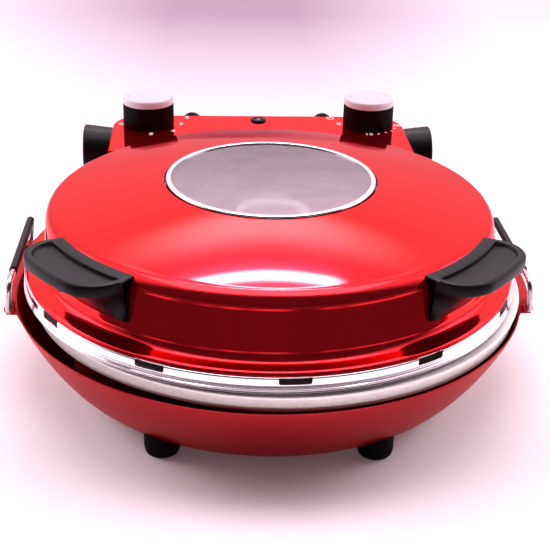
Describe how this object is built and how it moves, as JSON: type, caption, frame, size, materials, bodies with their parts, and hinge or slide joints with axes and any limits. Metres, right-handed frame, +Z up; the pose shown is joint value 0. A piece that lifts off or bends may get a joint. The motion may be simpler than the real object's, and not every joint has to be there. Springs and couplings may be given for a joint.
{
  "type": "electric pizza maker",
  "caption": "Round countertop pizza cooker: domed lid with a window hinges at the back with the control box, over a pan with a baking stone.",
  "frame": {"origin": "on the table, under the middle of the closed cooker's footprint", "axes": "+Z up, -Y towards the user (front), +Y towards the hinge and control box, +X to the user's right"},
  "size_m": [0.3874, 0.4296, 0.1508],
  "materials": {
    "red_enamel": "gloss",
    "red_box": "gloss",
    "bright_steel": "polished",
    "reflector_aluminium": "satin",
    "zinc_steel": "satin",
    "bail_steel": "polished",
    "black_bracket_steel": "satin",
    "element_sheath": "matt",
    "refractory_stone": "matt",
    "black_handle": "satin",
    "black_knob": "gloss",
    "pale_cap": "gloss",
    "black_rubber": "matt",
    "window_glass": "polished",
    "silicone": "matt",
    "grey_plastic": "satin",
    "ivory_plastic": "satin",
    "lamp_plastic": "gloss"
  },
  "bodies": {
    "base": {"base_bowl": "red_enamel", "feet": "black_rubber", "foot_screws": "zinc_steel", "inner_pan": "bright_steel", "pan_spacers": "zinc_steel", "pan_screws": "zinc_steel", "pan_nuts": "zinc_steel", "lower_element": "element_sheath", "lower_element_clips": "zinc_steel", "baking_stone": "refractory_stone", "hinge_bracket": "black_bracket_steel", "bracket_spacers": "zinc_steel", "bracket_bolts": "zinc_steel", "hinge_knuckle_left": "black_handle", "hinge_knuckle_right": "black_handle", "hinge_pin_left": "zinc_steel", "hinge_pin_right": "zinc_steel", "side_lug_left": "red_enamel", "side_lug_right": "red_enamel", "lug_rivets": "red_enamel"},
    "lid": {"lid_shell": "red_enamel", "lid_ring": "bright_steel", "lid_reflector": "reflector_aluminium", "lid_screws": "zinc_steel", "window_bezel": "bright_steel", "window_glass": "window_glass", "window_gasket": "silicone", "window_retainer": "zinc_steel", "window_screws": "zinc_steel", "upper_element": "element_sheath", "upper_element_clips": "zinc_steel", "handle_left": "black_handle", "handle_right": "black_handle", "handle_screws": "zinc_steel", "control_box": "red_box", "box_floor": "grey_plastic", "box_screws": "zinc_steel", "lid_bracket": "black_bracket_steel", "lid_bracket_bolts": "zinc_steel", "hinge_bushes": "zinc_steel", "thermostat": "ivory_plastic", "timer": "ivory_plastic", "control_nuts": "zinc_steel", "terminal_block": "ivory_plastic", "lamp_bezel": "black_handle", "lamp_lens": "lamp_plastic", "rear_bumpers": "black_rubber", "cord_inlet": "black_handle"},
    "thermostat_dial": {"thermostat_knob": "black_knob", "thermostat_cap": "pale_cap", "thermostat_shaft": "zinc_steel"},
    "timer_dial": {"timer_knob": "black_knob", "timer_cap": "pale_cap", "timer_shaft": "zinc_steel"},
    "left_bail": {"bail_wire_left": "bail_steel", "bail_sleeve_left": "black_handle"},
    "right_bail": {"bail_wire_right": "bail_steel", "bail_sleeve_right": "black_handle"}
  },
  "joints": [
    {"name": "lid_hinge", "type": "hinge", "parent": "base", "child": "lid", "pos_m": [0, 0.18125, 0.0935], "axis": [-1, 0, 0], "range_deg": [0, 100]},
    {"name": "thermostat_turn", "type": "hinge", "parent": "lid", "child": "thermostat_dial", "pos_m": [-0.0965, 0.17725, 0.13], "axis": [0, 0, -1], "range_deg": [0, 270]},
    {"name": "timer_turn", "type": "hinge", "parent": "lid", "child": "timer_dial", "pos_m": [0.0965, 0.17725, 0.13], "axis": [0, 0, -1], "range_deg": [0, 300]},
    {"name": "left_bail_swing", "type": "hinge", "parent": "base", "child": "left_bail", "pos_m": [-0.184, -0.02275, 0.0687], "axis": [0, -1, 0], "range_deg": [0, 90]},
    {"name": "right_bail_swing", "type": "hinge", "parent": "base", "child": "right_bail", "pos_m": [0.184, -0.02275, 0.0687], "axis": [0, 1, 0], "range_deg": [0, 90]}
  ]
}
